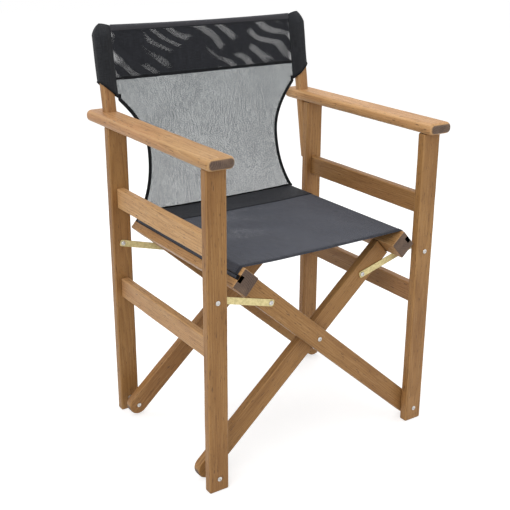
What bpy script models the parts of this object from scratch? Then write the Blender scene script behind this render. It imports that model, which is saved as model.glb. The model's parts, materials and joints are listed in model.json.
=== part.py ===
"""Folding chair with a crossed-leg base and a one-piece mesh sling.

Two side frames stand on their posts.  Two crossed leg frames hinge at the foot
of the posts and carry the slotted seat rails.  Four flat links tie the legs to
the posts, and the back of the sling is stretched between two leaning stiles.
X runs across the chair, Y from front to back and Z up; units are metres.
"""

from math import atan2, cos, degrees, hypot, pi, radians, sin, tan

import bmesh
import bpy
from mathutils import Matrix, Vector

# ---------------------------------------------------------------- dimensions
CLEAR = 0.0003          # gap between faces that rest on each other
FIT = 0.0006            # extra size of a mortise over its tenon

# Side frames
WIDTH_OVER_POSTS = 0.561
POST_W = 0.044
POST_D = 0.020
POST_H = 0.666
POST_EDGE = 0.0035
POST_OUT_Y = 0.209      # outer face of the posts, front and rear
SIDE_RAIL_T = 0.018
SIDE_RAIL_H = 0.044
SIDE_RAIL_LOW_Z = 0.306
SIDE_RAIL_HIGH_Z = 0.512
SIDE_RAIL_EDGE = 0.003
RAIL_TENON = (0.008, 0.014, 0.030)
POST_TENON = (0.022, 0.010, 0.012)

# Armrests
ARM_T = 0.024
ARM_W = 0.0585
ARM_OVERHANG = 0.009    # past the outer face of the posts
ARM_FRONT_Y = -0.233
ARM_REAR_Y = 0.284
ARM_CORNER = (0.007, 0.014)     # front, rear
ARM_EDGE = 0.006

# Back stiles
STILE_W = 0.029
STILE_D = 0.022
STILE_CORNER = 0.009
STILE_X = 0.2525
STILE_LEAN = radians(9.5)
STILE_Y = 0.236         # centre of the stile where it leaves the armrest
STILE_DROP = 0.1603     # below the armrest's top
STILE_RISE = 0.1722     # above the armrest's top
STILE_BOLT_DROP = (0.1363, 0.0963)
STILE_BOLT_REACH = 0.014
COUNTERBORE = 0.003

# Crossed legs
LEG_W = 0.044
LEG_T = 0.020
LEG_EDGE = 0.003
LEG_GAP = 0.0025        # between post, outer leg and inner leg
FOOT_Z = 0.029
CROSS_Z = 0.260
RAIL_REACH = 0.2635      # crossing to the middle of the seat rail
LEG_TENON = (0.030, 0.010)

# Seat rails and the rods in their slots
SEAT_RAIL_W = 0.044
SEAT_RAIL_T = 0.041
SEAT_RAIL_EDGE = 0.003
SEAT_RAIL_FRONT_Y = -0.209
SEAT_RAIL_REAR_Y = 0.214
SLOT_W = 0.0100
SLOT_D = 0.0078
ROD_R = 0.0030

# Links
LINK_Z = 0.409
LINK_PIN = 0.167        # crossing to the link's pin on the leg
LINK_W = 0.0145
LINK_CORNER = 0.0045
LINK_T = 0.0018

# Fasteners
SHANK_R = 0.003
HOLE_R = 0.0033
HEAD_R = 0.005
HEAD_H = 0.0023
SPACER_R = 0.006
NUT_FLATS = 0.010
NUT_T = 0.005
ROUND_STEPS = 12

# Sling
CLOTH_T = 0.0012
CLOTH_GAP = 0.0004
SEAT_FRONT_Y = -0.200
SEAT_SAG = 0.003
PANEL_RISE = 0.1757      # above the armrest's top
PANEL_FOOT_Y = 0.205
SEAM_X = 0.0230         # from the stile's axis in to the sleeve's seam
SLEEVE_SLACK = (0.002, 0.008)   # outwards and rearwards of the stile
WAIST_SHARE = 0.53      # from the seat up to the flare
WAIST_HALF = 0.172
FLARE_RISE = 0.0215
FOOT_HALF = 0.206
SLEEVE_RISE = 0.0617
SLEEVE_SLANT = radians(41.0)

# Derived
POST_X = (WIDTH_OVER_POSTS - POST_W) / 2
POST_IN_Y = POST_OUT_Y - POST_D
OUTER_Y1 = POST_IN_Y - LEG_GAP
OUTER_Y0 = OUTER_Y1 - LEG_T
INNER_Y1 = OUTER_Y0 - LEG_GAP
INNER_Y0 = INNER_Y1 - LEG_T
LEG_LOW = hypot(POST_X, CROSS_Z - FOOT_Z)
LEG_ANGLE = atan2(POST_X, CROSS_Z - FOOT_Z)
ARM_TOP_Z = POST_H + CLEAR + ARM_T
STILE_LOW_Z = ARM_TOP_Z - STILE_DROP
STILE_TOP_Z = ARM_TOP_Z + STILE_RISE
STILE_BOLT_Z = tuple(ARM_TOP_Z - drop for drop in STILE_BOLT_DROP)
PANEL_TOP_Z = ARM_TOP_Z + PANEL_RISE
FLARE_Z = ARM_TOP_Z + FLARE_RISE
SLEEVE_LOW_Z = ARM_TOP_Z + SLEEVE_RISE
PIN_X = LINK_PIN * sin(LEG_ANGLE)
PIN_Z = CROSS_Z + LINK_PIN * cos(LEG_ANGLE)
LINK_L = hypot(POST_X - PIN_X, LINK_Z - PIN_Z)
LINK_SLOPE = atan2(LINK_Z - PIN_Z, POST_X - PIN_X)

LEFT, RIGHT = -1, 1
FRONT, REAR = -1, 1
SIDE_NAME = {LEFT: "left", RIGHT: "right"}
END_NAME = {FRONT: "front", REAR: "rear"}

# Colour, roughness, metallic
WOOD = ((0.262, 0.128, 0.052), 0.45, 0.0)
BRASS = ((0.720, 0.640, 0.380), 0.30, 0.9)
ZINC = ((0.640, 0.640, 0.620), 0.30, 0.9)
ROD_BLACK = ((0.015, 0.015, 0.016), 0.50, 0.0)
MESH_CLOTH = ((0.045, 0.047, 0.052), 0.85, 0.0)


# ------------------------------------------------------------------- helpers
def clear_scene():
    for obj in list(bpy.data.objects):
        bpy.data.objects.remove(obj, do_unlink=True)


def new_collection(name):
    coll = bpy.data.collections.new(name)
    bpy.context.scene.collection.children.link(coll)
    return coll


def finish(obj, look):
    """Give a piece its own material."""
    colour, roughness, metallic = look
    mat = bpy.data.materials.new(obj.name + "_finish")
    mat.use_nodes = True
    shader = mat.node_tree.nodes["Principled BSDF"]
    shader.inputs["Base Color"].default_value = (*colour, 1.0)
    shader.inputs["Roughness"].default_value = roughness
    shader.inputs["Metallic"].default_value = metallic
    mat.diffuse_color = (*colour, 1.0)
    obj.data.materials.clear()
    obj.data.materials.append(mat)


def link_mesh(name, bm, coll, matrix):
    mesh = bpy.data.meshes.new(name)
    bm.normal_update()
    bm.to_mesh(mesh)
    bm.free()
    obj = bpy.data.objects.new(name, mesh)
    obj.matrix_world = matrix
    coll.objects.link(obj)
    return obj


def box(name, size, coll, matrix):
    bm = bmesh.new()
    bmesh.ops.create_cube(bm, size=1.0, matrix=Matrix.Diagonal((*size, 1.0)))
    return link_mesh(name, bm, coll, matrix)


def cylinder(name, radius, length, coll, matrix, steps=ROUND_STEPS):
    """Cylinder about its own Z axis."""
    bm = bmesh.new()
    bmesh.ops.create_cone(bm, cap_ends=True, segments=steps, radius1=radius,
                          radius2=radius, depth=length)
    return link_mesh(name, bm, coll, matrix)


def plate(name, outline, thickness, coll, matrix):
    """Flat outline in the piece's own XY plane, thickened along its Z."""
    curve = bpy.data.curves.new(name, "CURVE")
    curve.dimensions = "2D"
    curve.fill_mode = "BOTH"
    curve.extrude = thickness / 2
    spline = curve.splines.new("POLY")
    spline.points.add(len(outline) - 1)
    for point, (x, y) in zip(spline.points, outline):
        point.co = (x, y, 0.0, 1.0)
    spline.use_cyclic_u = True
    source = bpy.data.objects.new(name + "_outline", curve)
    bpy.context.scene.collection.objects.link(source)
    depsgraph = bpy.context.evaluated_depsgraph_get()
    mesh = bpy.data.meshes.new_from_object(source.evaluated_get(depsgraph))
    bpy.data.objects.remove(source, do_unlink=True)
    bm = bmesh.new()
    bm.from_mesh(mesh)
    bpy.data.meshes.remove(mesh)
    bmesh.ops.remove_doubles(bm, verts=bm.verts, dist=1e-6)
    bmesh.ops.dissolve_limit(bm, angle_limit=radians(1.0), verts=bm.verts, edges=bm.edges)
    bmesh.ops.recalc_face_normals(bm, faces=bm.faces)
    return link_mesh(name, bm, coll, matrix)


def turned(name, profile, coll, matrix, closed=False, steps=ROUND_STEPS):
    """Profile of (radius, height) points turned about the piece's own Z axis."""
    bm = bmesh.new()
    verts = [bm.verts.new((r, 0.0, z)) for r, z in profile]
    for first, second in zip(verts, verts[1:]):
        bm.edges.new((first, second))
    if closed:
        bm.edges.new((verts[-1], verts[0]))
    obj = link_mesh(name, bm, coll, matrix)
    screw = obj.modifiers.new("Turn", "SCREW")
    screw.axis = "Z"
    screw.steps = steps
    screw.render_steps = steps
    screw.use_merge_vertices = True
    screw.merge_threshold = 1e-5
    screw.use_smooth_shade = True
    return obj


def round_edges(obj, width, segments=2):
    bevel = obj.modifiers.new("Round", "BEVEL")
    bevel.width = width
    bevel.segments = segments
    bevel.limit_method = "ANGLE"
    bevel.angle_limit = radians(40.0)
    for polygon in obj.data.polygons:
        polygon.use_smooth = True
    obj.data.set_sharp_from_angle(angle=radians(50.0))


def combine(obj, tool, operation):
    tool.hide_render = True
    tool.display_type = "WIRE"
    boolean = obj.modifiers.new(tool.name, "BOOLEAN")
    boolean.operation = operation
    boolean.solver = "EXACT"
    boolean.object = tool


def at(x, y, z):
    return Matrix.Translation((x, y, z))


def facing(direction):
    """Turn the Z axis to point along Y, forwards (-1) or backwards (+1)."""
    return Matrix.Rotation(-direction * pi / 2, 4, "X")


def arc(cx, cy, radius, start, end, steps):
    points = []
    for i in range(steps + 1):
        angle = start + (end - start) * i / steps
        points.append((cx + radius * cos(angle), cy + radius * sin(angle)))
    return points


def rounded_rectangle(width, depth, radius, steps):
    dx = width / 2 - radius
    dy = depth / 2 - radius
    points = arc(dx, dy, radius, 0, pi / 2, steps)
    points += arc(-dx, dy, radius, pi / 2, pi, steps)
    points += arc(-dx, -dy, radius, pi, 1.5 * pi, steps)
    points += arc(dx, -dy, radius, 1.5 * pi, 2 * pi, steps)
    return points


def hole(obj, x, y, z, length, radius=HOLE_R):
    """Round hole along Y, centred on a point."""
    name = f"hole_{obj.name}_{len(obj.modifiers)}"
    tool = cylinder(name, radius, length, cutters, at(x, y, z) @ facing(FRONT))
    combine(obj, tool, "DIFFERENCE")


def body(name, x, z):
    """Empty on the axis that a group of pieces turns about."""
    empty = bpy.data.objects.new(name + "_axis", None)
    empty.empty_display_size = 0.05
    empty.location = (x, 0.0, z)
    chair.objects.link(empty)
    return empty


def attach(obj, empty, look):
    finish(obj, look)
    obj.parent = empty
    obj.matrix_parent_inverse = Matrix.Translation(-empty.location)
    return obj


# --------------------------------------------------------------- side frames
def stile_y(z):
    return STILE_Y + (z - ARM_TOP_Z) * tan(STILE_LEAN)


def stile_matrix(side, z):
    return at(side * STILE_X, stile_y(z), z) @ Matrix.Rotation(-STILE_LEAN, 4, "X")


def make_post(side, end, empty):
    x = side * POST_X
    y = end * (POST_OUT_Y - POST_D / 2)
    name = f"{SIDE_NAME[side]}_{END_NAME[end]}_post"
    post = box(name, (POST_W, POST_D, POST_H), chair, at(x, y, POST_H / 2))
    round_edges(post, POST_EDGE)
    tenon_w, tenon_d, tenon_h = POST_TENON
    overlap = 0.004
    tenon = box(name + "_tenon", (tenon_w, tenon_d, tenon_h + overlap), cutters,
                at(x, y, POST_H + (tenon_h - overlap) / 2))
    combine(post, tenon, "UNION")
    for z in (FOOT_Z, LINK_Z):
        hole(post, x, y, z, 2 * POST_D)
    mortise_w, mortise_d, mortise_h = RAIL_TENON
    for z in (SIDE_RAIL_LOW_Z, SIDE_RAIL_HIGH_Z):
        mortise = box(f"{name}_mortise_{len(post.modifiers)}",
                      (mortise_w + FIT, 2 * (mortise_d + FIT), mortise_h + FIT), cutters,
                      at(x, end * POST_IN_Y, z))
        combine(post, mortise, "DIFFERENCE")
    if end == REAR:
        for z in STILE_BOLT_Z:
            hole(post, side * STILE_X, POST_OUT_Y, z, 2 * (STILE_BOLT_REACH + FIT))
    return attach(post, empty, WOOD)


def make_side_rail(side, level, z, empty):
    x = side * POST_X
    name = f"{SIDE_NAME[side]}_{level}_rail"
    length = 2 * (POST_IN_Y - CLEAR)
    rail = box(name, (SIDE_RAIL_T, length, SIDE_RAIL_H), chair, at(x, 0, z))
    round_edges(rail, SIDE_RAIL_EDGE)
    tenon_w, tenon_d, tenon_h = RAIL_TENON
    overlap = 0.004
    for end in (FRONT, REAR):
        tenon = box(f"{name}_{END_NAME[end]}_tenon", (tenon_w, tenon_d + overlap, tenon_h),
                    cutters, at(x, end * (length / 2 + (tenon_d - overlap) / 2), z))
        combine(rail, tenon, "UNION")
    return attach(rail, empty, WOOD)


def make_armrest(side, empty):
    name = f"{SIDE_NAME[side]}_armrest"
    length = ARM_REAR_Y - ARM_FRONT_Y
    x = side * (POST_X + POST_W / 2 + ARM_OVERHANG - ARM_W / 2)
    y = (ARM_REAR_Y + ARM_FRONT_Y) / 2
    low = POST_H + CLEAR
    front, rear = ARM_CORNER
    outline = rounded_rectangle(ARM_W, length, rear, 4)[:10]
    outline += rounded_rectangle(ARM_W, length, front, 4)[10:]
    arm = plate(name, outline, ARM_T, chair, at(x, y, low + ARM_T / 2))
    round_edges(arm, ARM_EDGE)
    tenon_w, tenon_d, tenon_h = POST_TENON
    for end in (FRONT, REAR):
        mortise = box(f"{name}_{END_NAME[end]}_mortise",
                      (tenon_w + FIT, tenon_d + FIT, 2 * (tenon_h + FIT)), cutters,
                      at(side * POST_X, end * (POST_OUT_Y - POST_D / 2), low))
        combine(arm, mortise, "DIFFERENCE")
    opening = rounded_rectangle(STILE_W + 2 * FIT, STILE_D + 2 * FIT, STILE_CORNER + FIT, 3)
    tool = plate(name + "_opening", opening, 4 * ARM_T, cutters,
                 stile_matrix(side, low + ARM_T / 2))
    combine(arm, tool, "DIFFERENCE")
    return attach(arm, empty, WOOD)


def make_stile(side, empty):
    """Leaning stile, planed flat below where it lies against the rear post."""
    name = f"{SIDE_NAME[side]}_back_stile"
    middle = (STILE_TOP_Z + STILE_LOW_Z) / 2
    length = (STILE_TOP_Z - STILE_LOW_Z) / cos(STILE_LEAN)
    section = rounded_rectangle(STILE_W, STILE_D, STILE_CORNER, 3)
    stile = plate(name, section, length, chair, stile_matrix(side, middle))
    round_edges(stile, 0.002, 1)
    x = side * STILE_X
    depth = 0.100
    flat = box(name + "_flat", (POST_W, depth, POST_H), cutters,
               at(x, POST_OUT_Y + CLEAR - depth / 2, POST_H / 2))
    combine(stile, flat, "DIFFERENCE")
    for z in STILE_BOLT_Z:
        hole(stile, x, stile_y(z), z, 3 * STILE_D)
        seat = stile_bolt_seat(z)
        hole(stile, x, seat + STILE_D, z, 2 * STILE_D, HEAD_R + 2 * FIT)
    return attach(stile, empty, WOOD)


def stile_bolt_seat(z):
    return stile_y(z) + STILE_D / 2 / cos(STILE_LEAN) - COUNTERBORE


# ------------------------------------------------------- legs and seat rails
def lean(side):
    """Rotation of a leg that leans towards a side."""
    return Matrix.Rotation(side * LEG_ANGLE, 4, "Y")


def leg_frame(side):
    """Frame at the crossing with its Z up the leg that carries a side's rail."""
    return at(0, 0, CROSS_Z) @ lean(side)


def leg_tenon(side, y, grow):
    width, length = LEG_TENON
    overlap = 0.004
    top = RAIL_REACH - SEAT_RAIL_T / 2
    name = f"{SIDE_NAME[side]}_leg_tenon_{len(cutters.objects)}"
    size = (width + grow, LEG_T - 0.004 + grow, length + overlap + grow)
    return box(name, size, cutters,
               leg_frame(side) @ at(0, y, top + (length - overlap + grow) / 2))


def make_leg(name, side, y, empty, pivots):
    """Flat leg with a round foot; it carries the seat rail of the given side."""
    top = RAIL_REACH - SEAT_RAIL_T / 2 - CLEAR
    outline = arc(0, -LEG_LOW, LEG_W / 2, pi, 2 * pi, 10)
    outline += [(LEG_W / 2, top), (-LEG_W / 2, top)]
    upright = Matrix.Rotation(pi / 2, 4, "X")
    leg = plate(name, outline, LEG_T, chair, leg_frame(side) @ at(0, y, 0) @ upright)
    round_edges(leg, LEG_EDGE)
    combine(leg, leg_tenon(side, y, 0.0), "UNION")
    for x, z in pivots:
        hole(leg, x, y, z, 2 * LEG_T)
    return attach(leg, empty, WOOD)


def make_seat_rail(side, leg_ys, empty):
    name = f"seat_rail_{SIDE_NAME[side]}"
    length = SEAT_RAIL_REAR_Y - SEAT_RAIL_FRONT_Y
    middle = (SEAT_RAIL_REAR_Y + SEAT_RAIL_FRONT_Y) / 2
    centre = leg_frame(side) @ at(0, middle, RAIL_REACH)
    rail = box(name, (SEAT_RAIL_W, length, SEAT_RAIL_T), chair, centre)
    round_edges(rail, SEAT_RAIL_EDGE)
    slot = box(name + "_slot", (SLOT_W, 2 * length, 2 * SLOT_D), cutters,
               centre @ at(0, 0, SEAT_RAIL_T / 2))
    combine(rail, slot, "DIFFERENCE")
    for y in leg_ys:
        combine(rail, leg_tenon(side, y, FIT), "DIFFERENCE")
    return attach(rail, empty, WOOD)


# --------------------------------------------------------------------- cloth
def rod_height():
    """Rod's axis above the middle of the seat rail, along the leg."""
    ring = ROD_R + CLOTH_GAP + CLOTH_T
    return SEAT_RAIL_T / 2 - SLOT_D + ring + CLOTH_GAP


def make_seat_rod(side, empty):
    length = seat_rear_y() - SEAT_FRONT_Y
    middle = (seat_rear_y() + SEAT_FRONT_Y) / 2
    matrix = leg_frame(side) @ at(0, middle, RAIL_REACH + rod_height()) @ facing(FRONT)
    rod = cylinder(f"seat_rod_{SIDE_NAME[side]}", ROD_R, length, chair, matrix)
    for polygon in rod.data.polygons:
        polygon.use_smooth = len(polygon.vertices) == 4
    return attach(rod, empty, ROD_BLACK)


def seat_half_path():
    """Middle of the cloth from the hem on the rod to the centre line, right side.

    The hem rings the rod, climbs out of the slot, runs up the rail's face and
    turns over its top edge before it sags towards the middle.
    """
    half = CLOTH_T / 2
    reach = half + CLOTH_GAP
    ring = ROD_R + CLOTH_GAP + half
    face = SEAT_RAIL_T / 2
    edge = SEAT_RAIL_EDGE
    slot = SLOT_W / 2
    local = arc(0, rod_height(), ring, radians(475), radians(180), 12)
    local += arc(-slot, face, slot - ring, 0, pi / 2, 3)
    corner_x = -SEAT_RAIL_W / 2 + edge
    turn = LEG_ANGLE + atan2(4 * SEAT_SAG, 2 * RAIL_REACH * sin(LEG_ANGLE))
    local += arc(corner_x, face - edge, edge + reach, pi / 2, pi / 2 + turn, 4)
    across = Vector((cos(LEG_ANGLE), -sin(LEG_ANGLE)))
    along = Vector((sin(LEG_ANGLE), cos(LEG_ANGLE)))
    start = Vector((0, CROSS_Z)) + along * RAIL_REACH
    path = [start + across * t + along * n for t, n in local]
    edge_x, edge_z = path[-1]
    steps = 5
    for i in range(1, steps + 1):
        x = edge_x * (1 - i / steps)
        path.append(Vector((x, edge_z - SEAT_SAG * (1 - (x / edge_x) ** 2))))
    return path


def seat_height(x):
    """Height of the cloth's middle at a distance from the centre line."""
    path = seat_half_path()
    first = max(range(len(path)), key=lambda i: path[i].y)
    over = [p for i, p in enumerate(path) if i >= first - 6]
    over.sort(key=lambda p: p.x)
    x = abs(x)
    for low, high in zip(over, over[1:]):
        if low.x <= x <= high.x and high.x > low.x:
            return low.y + (high.y - low.y) * (x - low.x) / (high.x - low.x)
    return over[-1].y


def panel_y(z):
    """Plane of the back: along the stiles above, down to the seat's rear edge."""
    if z >= FLARE_Z:
        return stile_y(z)
    foot = seat_half_path()[-1].y + SEAT_SAG
    share = (z - foot) / (FLARE_Z - foot)
    return PANEL_FOOT_Y + share * (stile_y(FLARE_Z) - PANEL_FOOT_Y)


def panel_half(z):
    """Half width of the back panel, drawn in at the waist."""
    wide = STILE_X - SEAM_X - CLEAR
    foot = seat_half_path()[-1].y + SEAT_SAG
    waist = foot + WAIST_SHARE * (FLARE_Z - foot)
    if z >= FLARE_Z:
        return wide
    if z >= waist:
        share = (z - waist) / (FLARE_Z - waist)
        return WAIST_HALF + (wide - WAIST_HALF) * share ** 2
    share = (waist - z) / (waist - foot)
    return WAIST_HALF + (FOOT_HALF - WAIST_HALF) * share ** 2.3


def seat_rear_y():
    return PANEL_FOOT_Y - CLOTH_T / 2 - CLOTH_GAP - 0.0006


def thicken(obj, smooth_angle=40.0):
    solid = obj.modifiers.new("Thickness", "SOLIDIFY")
    solid.thickness = CLOTH_T
    solid.offset = 0.0
    solid.use_even_offset = True
    for polygon in obj.data.polygons:
        polygon.use_smooth = True
    obj.data.set_sharp_from_angle(angle=radians(smooth_angle))


def make_seat_sling(empty):
    half = seat_half_path()
    path = half + [Vector((-p.x, p.y)) for p in reversed(half[:-1])]
    bm = bmesh.new()
    verts = [bm.verts.new((p.x, SEAT_FRONT_Y, p.y)) for p in path]
    edges = [bm.edges.new(pair) for pair in zip(verts, verts[1:])]
    swept = bmesh.ops.extrude_edge_only(bm, edges=edges)
    moved = [g for g in swept["geom"] if isinstance(g, bmesh.types.BMVert)]
    bmesh.ops.translate(bm, verts=moved, vec=(0, seat_rear_y() - SEAT_FRONT_Y, 0))
    sling = link_mesh("seat_sling", bm, chair, Matrix())
    thicken(sling)
    return attach(sling, empty, MESH_CLOTH)


def make_back_panel(empty):
    """Hourglass panel whose lower edge follows the seat over both rails."""
    columns = 20
    rows = 9
    inner_share = 0.6       # columns spread over the flat part of the seat's edge
    inner_width = 0.9
    foot = seat_half_path()[-1].y + SEAT_SAG
    height = PANEL_TOP_Z - foot
    bm = bmesh.new()
    bmesh.ops.create_grid(bm, x_segments=columns, y_segments=rows, size=1.0)
    for vert in bm.verts:
        share = (vert.co.y + 1) / 2
        z = foot + share * height
        across = abs(vert.co.x)
        if across <= inner_share:
            across = across / inner_share * inner_width
        else:
            across = inner_width + (across - inner_share) / (1 - inner_share) * (1 - inner_width)
        x = across * panel_half(z) * (1 if vert.co.x > 0 else -1)
        drop = (1 - share) ** 8 * (seat_height(across * FOOT_HALF) - foot)
        vert.co = (x, panel_y(z), z + drop)
    panel = link_mesh("back_panel", bm, chair, Matrix())
    thicken(panel)
    return attach(panel, empty, MESH_CLOTH)


def make_sleeve(side, empty):
    """Pocket over the stile: closed on top, cut on a slant below."""
    name = f"back_sleeve_{SIDE_NAME[side]}"
    grow = CLOTH_GAP + CLOTH_T
    radius = STILE_CORNER + grow
    dx = STILE_W / 2 + grow - radius
    dy = STILE_D / 2 + grow - radius
    out, back = SLEEVE_SLACK
    seam = CLOTH_T
    outline = [(-SEAM_X, seam), (-SEAM_X, -seam)]
    outline += arc(-dx, -dy, radius, radians(235), radians(270), 2)
    outline += arc(dx + out, -dy, radius, radians(270), radians(360), 3)
    outline += arc(dx + out, dy + back, radius, 0, radians(90), 3)
    outline += arc(-dx, dy + back, radius, radians(90), radians(125), 2)
    outline = [(side * x, y) for x, y in outline]
    low = SLEEVE_LOW_Z - 0.060
    high = PANEL_TOP_Z + CLOTH_T
    middle = (low + high) / 2
    length = (high - low) / cos(STILE_LEAN)
    sleeve = plate(name, outline, length, chair, stile_matrix(side, middle))
    inner = rounded_rectangle(STILE_W + 2 * CLOTH_GAP + out, STILE_D + 2 * CLOTH_GAP + back,
                              STILE_CORNER + CLOTH_GAP, 3)
    inner = [(x + side * out / 2, y + back / 2) for x, y in inner]
    roof = STILE_TOP_Z + 0.001
    depth = 0.300
    pocket = plate(name + "_pocket", inner, depth, cutters,
                   stile_matrix(side, roof - depth * cos(STILE_LEAN) / 2))
    combine(sleeve, pocket, "DIFFERENCE")
    block = 0.120
    slant = Matrix.Rotation(-side * SLEEVE_SLANT, 4, "Y")
    outer_x = side * (STILE_X + dx + out + radius)
    trim = box(name + "_trim", (2 * block, 2 * block, block), cutters,
               at(outer_x, stile_y(SLEEVE_LOW_Z), SLEEVE_LOW_Z) @ slant @ at(0, 0, -block / 2))
    combine(sleeve, trim, "DIFFERENCE")
    return attach(sleeve, empty, MESH_CLOTH)


# ------------------------------------------------------------ links and bolts
def make_link(side, end, y, empty):
    """Flat bar from the post's bolt down to its pin on the leg."""
    name = f"link_{SIDE_NAME[side]}_{END_NAME[end]}"
    outline = rounded_rectangle(LINK_L + LINK_W, LINK_W, LINK_CORNER, 4)
    outline = [(x + LINK_L / 2, y) for x, y in outline]
    upright = Matrix.Rotation(pi / 2, 4, "X")
    turn = Matrix.Rotation(LINK_SLOPE if side == LEFT else pi - LINK_SLOPE, 4, "Y")
    bar = plate(name, outline, LINK_T, chair, at(side * POST_X, y, LINK_Z) @ turn @ upright)
    hole(bar, side * POST_X, y, LINK_Z, 4 * LINK_T)
    hole(bar, side * PIN_X, y, PIN_Z, 4 * LINK_T)
    return attach(bar, empty, BRASS)


def make_bolt(name, x, z, seat_y, end_y, empty):
    """Dome-headed bolt; its head lies on the face at seat_y."""
    direction = FRONT if end_y > seat_y else REAR
    length = abs(end_y - seat_y)
    head = arc(0, 0, 1.0, pi / 2, radians(15), 3)
    profile = [(HEAD_R * u, CLEAR + 0.0006 + (HEAD_H - 0.0006) * v) for u, v in head]
    profile[0] = (0.0, CLEAR + HEAD_H)
    profile += [(HEAD_R, CLEAR + 0.0006), (HEAD_R, CLEAR), (SHANK_R, CLEAR)]
    profile += [(SHANK_R, -length), (0.0, -length)]
    bolt = turned(name, profile, chair, at(x, seat_y, z) @ facing(direction))
    return attach(bolt, empty, ZINC)


def make_spacer(name, x, z, low_y, high_y, empty):
    low = low_y + CLEAR
    high = high_y - CLEAR
    half = (high - low) / 2
    profile = [(SPACER_R, half), (SPACER_R, -half), (HOLE_R, -half), (HOLE_R, half)]
    spacer = turned(name, profile, chair, at(x, (low + high) / 2, z) @ facing(REAR), True)
    return attach(spacer, empty, ZINC)


def make_nut(name, x, z, face_y, empty):
    """Hexagon nut behind the face at face_y."""
    radius = NUT_FLATS / 2 / cos(pi / 6)
    y = face_y + CLEAR + NUT_T / 2
    nut = cylinder(name, radius, NUT_T, chair, at(x, y, z) @ facing(FRONT), 6)
    hole(nut, x, y, z, 2 * NUT_T)
    return attach(nut, empty, ZINC)


# ------------------------------------------------------------------ assembly
clear_scene()
chair = new_collection("folding_chair")
cutters = new_collection("cutters")

left_side = body("left_side", -POST_X, 0.0)
legs_inner = body("legs_inner", -POST_X, FOOT_Z)
legs_outer = body("legs_outer", 0.0, CROSS_Z)
right_side = body("right_side", POST_X, FOOT_Z)
links_left = body("links_left", -POST_X, LINK_Z)
links_right = body("links_right", POST_X, LINK_Z)
side_body = {LEFT: left_side, RIGHT: right_side}
link_body = {LEFT: links_left, RIGHT: links_right}

for side in (LEFT, RIGHT):
    frame = side_body[side]
    make_post(side, FRONT, frame)
    make_post(side, REAR, frame)
    make_side_rail(side, "upper", SIDE_RAIL_HIGH_Z, frame)
    make_side_rail(side, "lower", SIDE_RAIL_LOW_Z, frame)
    make_armrest(side, frame)
    make_stile(side, frame)
    for level, z in zip(("lower", "upper"), STILE_BOLT_Z):
        make_bolt(f"stile_bolt_{SIDE_NAME[side]}_{level}", side * STILE_X, z,
                  stile_bolt_seat(z), POST_OUT_Y - STILE_BOLT_REACH, frame)

outer_y = (OUTER_Y0 + OUTER_Y1) / 2
inner_y = (INNER_Y0 + INNER_Y1) / 2
for end in (FRONT, REAR):
    crossing = (0.0, CROSS_Z)
    make_leg(f"inner_leg_{END_NAME[end]}", RIGHT, end * inner_y, legs_inner,
             (crossing, (-POST_X, FOOT_Z)))
    make_leg(f"outer_leg_{END_NAME[end]}", LEFT, end * outer_y, legs_outer,
             (crossing, (POST_X, FOOT_Z)))
make_seat_rail(RIGHT, (-inner_y, inner_y), legs_inner)
make_seat_rail(LEFT, (-outer_y, outer_y), legs_outer)
make_seat_rod(RIGHT, legs_inner)
make_seat_rod(LEFT, legs_outer)

# Each link lies just outside the leg it is pinned to.
left_link_y = OUTER_Y1 + CLEAR + LINK_T / 2 + 0.0001
right_link_y = INNER_Y1 + CLEAR + LINK_T / 2 + 0.0001
link_y = {LEFT: left_link_y, RIGHT: right_link_y}
for side in (LEFT, RIGHT):
    for end in (FRONT, REAR):
        label = f"{SIDE_NAME[side]}_{END_NAME[end]}"
        make_link(side, end, end * link_y[side], link_body[side])
        outer_face = end * (link_y[side] + LINK_T / 2)
        inner_face = end * (link_y[side] - LINK_T / 2)
        make_bolt(f"link_screw_{label}", side * PIN_X, PIN_Z, outer_face, inner_face,
                  link_body[side])
        post_out = end * POST_OUT_Y
        seat, tip = (post_out, inner_face) if end == FRONT else (inner_face, post_out)
        make_bolt(f"link_bolt_{label}", side * POST_X, LINK_Z, seat, tip, side_body[side])
        if side == RIGHT:
            near, far = sorted((outer_face, end * POST_IN_Y))
            make_spacer(f"link_spacer_{label}", POST_X, LINK_Z, near, far, right_side)

# Foot pivots: the heads face forwards and the nuts are behind.
TIP = NUT_T + 0.001
for side, leg_in, leg_out in ((LEFT, INNER_Y0, INNER_Y1), (RIGHT, OUTER_Y0, OUTER_Y1)):
    x = side * POST_X
    name = SIDE_NAME[side]
    frame = side_body[side]
    make_bolt(f"foot_bolt_{name}_front", x, FOOT_Z, -POST_OUT_Y, -leg_in + TIP, frame)
    make_nut(f"foot_nut_{name}_front", x, FOOT_Z, -leg_in, frame)
    make_bolt(f"foot_bolt_{name}_rear", x, FOOT_Z, leg_in, POST_OUT_Y + TIP, frame)
    make_nut(f"foot_nut_{name}_rear", x, FOOT_Z, POST_OUT_Y, frame)
    if side == LEFT:
        make_spacer("foot_spacer_left_front", x, FOOT_Z, -POST_IN_Y, -leg_out, frame)
        make_spacer("foot_spacer_left_rear", x, FOOT_Z, leg_out, POST_IN_Y, frame)

make_bolt("cross_bolt_front", 0.0, CROSS_Z, -OUTER_Y1, -INNER_Y0 + TIP, legs_inner)
make_nut("cross_nut_front", 0.0, CROSS_Z, -INNER_Y0, legs_inner)
make_bolt("cross_bolt_rear", 0.0, CROSS_Z, INNER_Y0, OUTER_Y1 + TIP, legs_inner)
make_nut("cross_nut_rear", 0.0, CROSS_Z, OUTER_Y1, legs_inner)

make_seat_sling(legs_inner)
make_back_panel(left_side)
make_sleeve(LEFT, left_side)
make_sleeve(RIGHT, right_side)

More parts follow.
